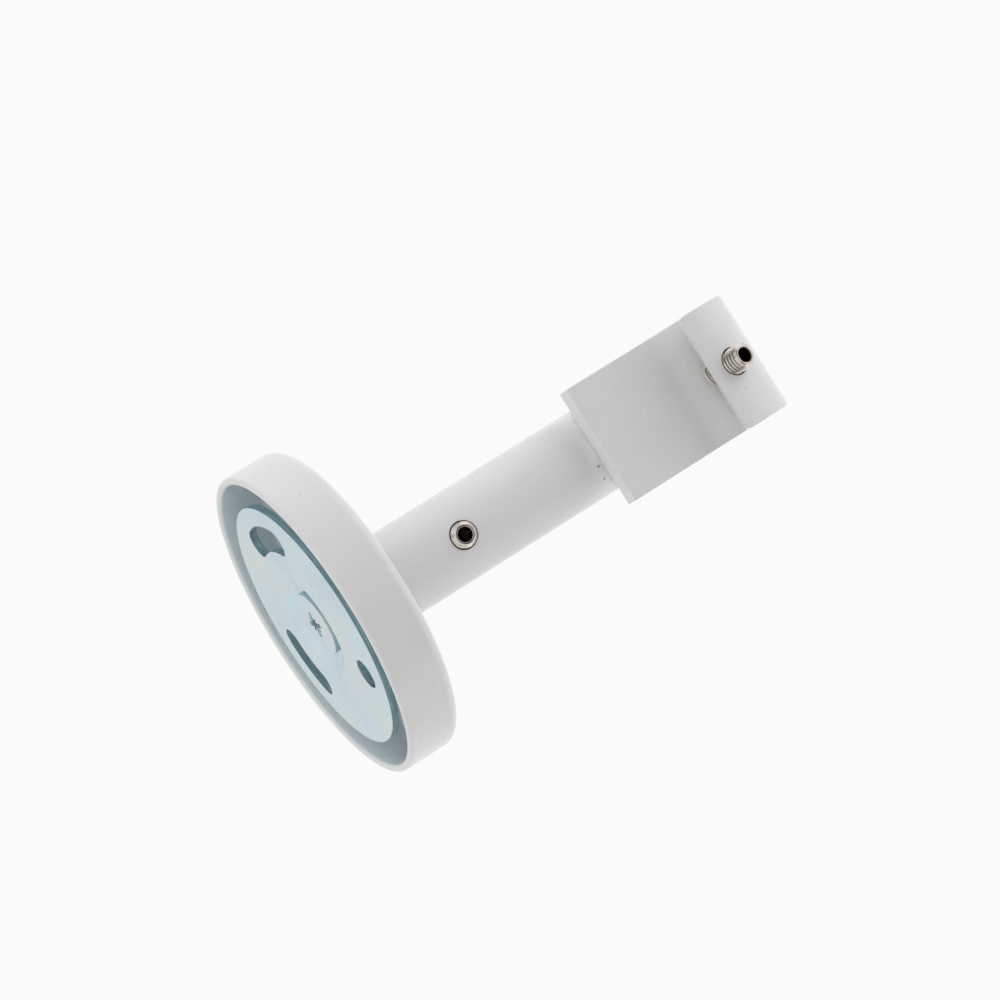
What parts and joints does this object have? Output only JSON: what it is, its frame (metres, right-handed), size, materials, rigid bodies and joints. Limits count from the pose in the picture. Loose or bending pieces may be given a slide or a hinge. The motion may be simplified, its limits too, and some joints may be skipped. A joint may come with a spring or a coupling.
{
  "type": "wall rail bracket",
  "caption": "Round-based stand-off bracket: slotted wall plate with cover cup, turning and sliding arm, and a hooked clamp head with a set screw that grips a flat rail.",
  "frame": {"origin": "centre of the cover cup's rim, in the plane of the wall", "axes": "+Z out of the wall along the arm, -Y the side that the jaw and the arm's set screw face, +X along the rail"},
  "size_m": [0.0726, 0.0726, 0.1141],
  "materials": {
    "white_paint": "white powder coat, half gloss",
    "zinc_plate": "bright zinc plating, faint blue and yellow tints",
    "zinc_screw": "bright zinc plating",
    "bare_steel": "turned steel",
    "nickel_screw": "nickel plated steel, dark in the socket"
  },
  "bodies": {
    "base": {"wall_plate": "zinc_plate", "centre_screw": "zinc_screw"},
    "post": {"post": "bare_steel"},
    "arm": {"arm_tube": "white_paint", "clamp_head": "white_paint"},
    "arm_screw": {"arm_set_screw": "nickel_screw"},
    "jaw_screw": {"jaw_set_screw": "nickel_screw"},
    "cover": {"cover_cup": "white_paint"}
  },
  "joints": [
    {"name": "post_turn", "type": "hinge", "parent": "base", "child": "post", "pos_m": [0, 0, 0.004], "axis": [0, 0, 1], "range_deg": [-180, 180]},
    {"name": "arm_slide", "type": "slide", "parent": "post", "child": "arm", "axis": [0, 0, 1], "range_m": [0, 0.012]},
    {"name": "arm_screw_travel", "type": "slide", "parent": "arm", "child": "arm_screw", "axis": [0.0663, -0.9978, 0], "range_m": [0, 0.002]},
    {"name": "jaw_screw_travel", "type": "slide", "parent": "arm", "child": "jaw_screw", "axis": [0, -0.9421, 0.3355], "range_m": [0, 0.004]},
    {"name": "cover_slide", "type": "slide", "parent": "base", "child": "cover", "axis": [0, 0, 1], "range_m": [0, 0.018]}
  ]
}
